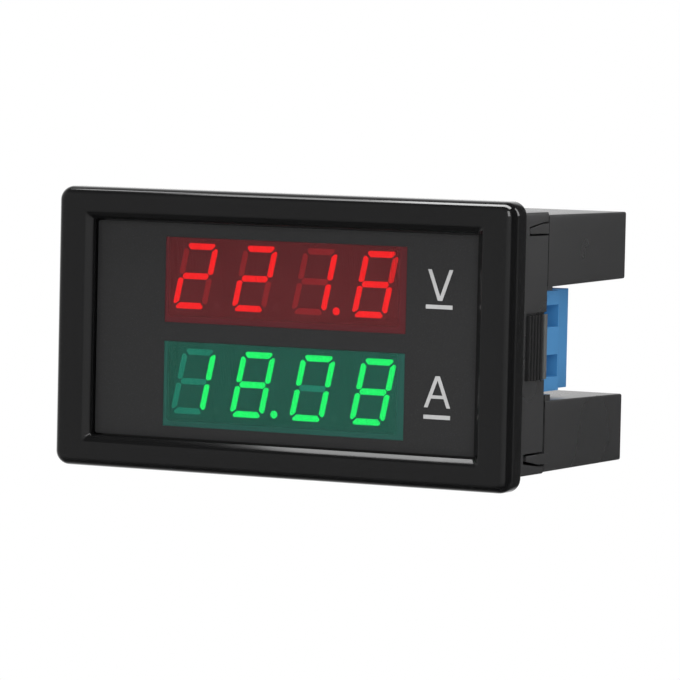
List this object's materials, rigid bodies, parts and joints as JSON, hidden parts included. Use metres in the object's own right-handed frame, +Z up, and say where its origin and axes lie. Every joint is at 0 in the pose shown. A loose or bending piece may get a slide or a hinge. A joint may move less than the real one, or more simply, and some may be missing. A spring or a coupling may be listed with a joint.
{
  "type": "digital panel meter",
  "caption": "Rectangular flush-mounting panel meter with lit digit rows in a moulded bezel, a shallow housing with serrated side latches, and screw terminals between deep rear modules.",
  "frame": {"origin": "centre of the panel cut-out, in the plane of the bezel's rear face, where the panel's front surface lies", "axes": "+X to the right seen from the front, +Y towards the rear, +Z up"},
  "size_m": [0.079, 0.0445, 0.0436],
  "materials": {
    "bezel_plastic": "glossy moulded black",
    "panel_film": "fine-grained black film",
    "red_window": "clear red tint",
    "green_window": "clear green tint",
    "display_resin": "moulded display body",
    "red_lit": "glowing segment",
    "red_dark": "unlit segment",
    "green_lit": "glowing segment",
    "green_dark": "unlit segment",
    "tin": "tinned pin",
    "board": "solder resist over glass fibre",
    "chip": "moulded epoxy",
    "cover_plastic": "fine spark-eroded black",
    "latch_plastic": "satin black",
    "terminal_plastic": "moulded blue",
    "contact_brass": "tinned brass",
    "clamp_steel": "plated steel",
    "screw_steel": "plated steel",
    "ferrite": "sintered ferrite",
    "coil_tape": "winding tape",
    "capacitor_sleeve": "shrink sleeve",
    "film_box": "moulded capacitor box",
    "resistor_body": "lacquered resistor"
  },
  "bodies": {
    "meter": {"front_frame": "bezel_plastic", "face_panel": "panel_film", "voltage_window": "red_window", "current_window": "green_window", "voltage_display": "display_resin", "voltage_segments_lit": "red_lit", "voltage_segments_dark": "red_dark", "current_display": "display_resin", "current_segments_lit": "green_lit", "current_segments_dark": "green_dark", "display_pins": "tin", "display_board": "board", "controller_chip": "chip", "driver_resistors": "chip", "board_header": "chip", "main_board": "board", "rear_cover": "cover_plastic", "terminal_block_right": "terminal_plastic", "terminal_block_left": "terminal_plastic", "terminal_strips": "contact_brass", "supply_board": "board", "transformer_core": "ferrite", "transformer_coil": "coil_tape", "smoothing_capacitors": "capacitor_sleeve", "dropper_capacitor": "film_box", "rectifier_bridge": "chip", "regulator": "chip", "sense_board": "board", "burden_resistors": "resistor_body", "sense_amplifier": "chip"},
    "right_latch": {"right_latch": "latch_plastic"},
    "left_latch": {"left_latch": "latch_plastic"},
    "screw_right_upper": {"screw_right_upper": "screw_steel"},
    "clamp_right_upper": {"clamp_right_upper": "clamp_steel"},
    "screw_right_lower": {"screw_right_lower": "screw_steel"},
    "clamp_right_lower": {"clamp_right_lower": "clamp_steel"},
    "screw_left_upper": {"screw_left_upper": "screw_steel"},
    "clamp_left_upper": {"clamp_left_upper": "clamp_steel"},
    "screw_left_lower": {"screw_left_lower": "screw_steel"},
    "clamp_left_lower": {"clamp_left_lower": "clamp_steel"}
  },
  "joints": [
    {"name": "right_latch_flex", "type": "hinge", "parent": "meter", "child": "right_latch", "pos_m": [0.0375, 0.0105, 0], "axis": [0, 0, -1], "range_deg": [0, 4.5], "stiffness_Nm_per_rad": 0.02},
    {"name": "left_latch_flex", "type": "hinge", "parent": "meter", "child": "left_latch", "pos_m": [-0.0375, 0.0105, 0], "axis": [0, 0, 1], "range_deg": [0, 4.5], "stiffness_Nm_per_rad": 0.02},
    {"name": "screw_right_upper_turn", "type": "hinge", "parent": "meter", "child": "screw_right_upper", "pos_m": [0.03055, 0.0235, 0.00401], "axis": [0, -1, 0], "range_deg": [0, 1728.5]},
    {"name": "clamp_right_upper_rise", "type": "slide", "parent": "meter", "child": "clamp_right_upper", "axis": [0, 1, 0], "range_m": [0, 0.0024]},
    {"name": "screw_right_lower_turn", "type": "hinge", "parent": "meter", "child": "screw_right_lower", "pos_m": [0.03055, 0.0235, -0.00361], "axis": [0, -1, 0], "range_deg": [0, 1728.5]},
    {"name": "clamp_right_lower_rise", "type": "slide", "parent": "meter", "child": "clamp_right_lower", "axis": [0, 1, 0], "range_m": [0, 0.0024]},
    {"name": "screw_left_upper_turn", "type": "hinge", "parent": "meter", "child": "screw_left_upper", "pos_m": [-0.03055, 0.0235, 0.00401], "axis": [0, -1, 0], "range_deg": [0, 1728.5]},
    {"name": "clamp_left_upper_rise", "type": "slide", "parent": "meter", "child": "clamp_left_upper", "axis": [0, 1, 0], "range_m": [0, 0.0024]},
    {"name": "screw_left_lower_turn", "type": "hinge", "parent": "meter", "child": "screw_left_lower", "pos_m": [-0.03055, 0.0235, -0.00361], "axis": [0, -1, 0], "range_deg": [0, 1728.5]},
    {"name": "clamp_left_lower_rise", "type": "slide", "parent": "meter", "child": "clamp_left_lower", "axis": [0, 1, 0], "range_m": [0, 0.0024]}
  ],
  "couplings": [
    {"joint": "screw_right_upper_turn", "follows": "clamp_right_upper_rise", "rad_per_m": 12566},
    {"joint": "screw_right_lower_turn", "follows": "clamp_right_lower_rise", "rad_per_m": 12566},
    {"joint": "screw_left_upper_turn", "follows": "clamp_left_upper_rise", "rad_per_m": 12566},
    {"joint": "screw_left_lower_turn", "follows": "clamp_left_lower_rise", "rad_per_m": 12566}
  ]
}
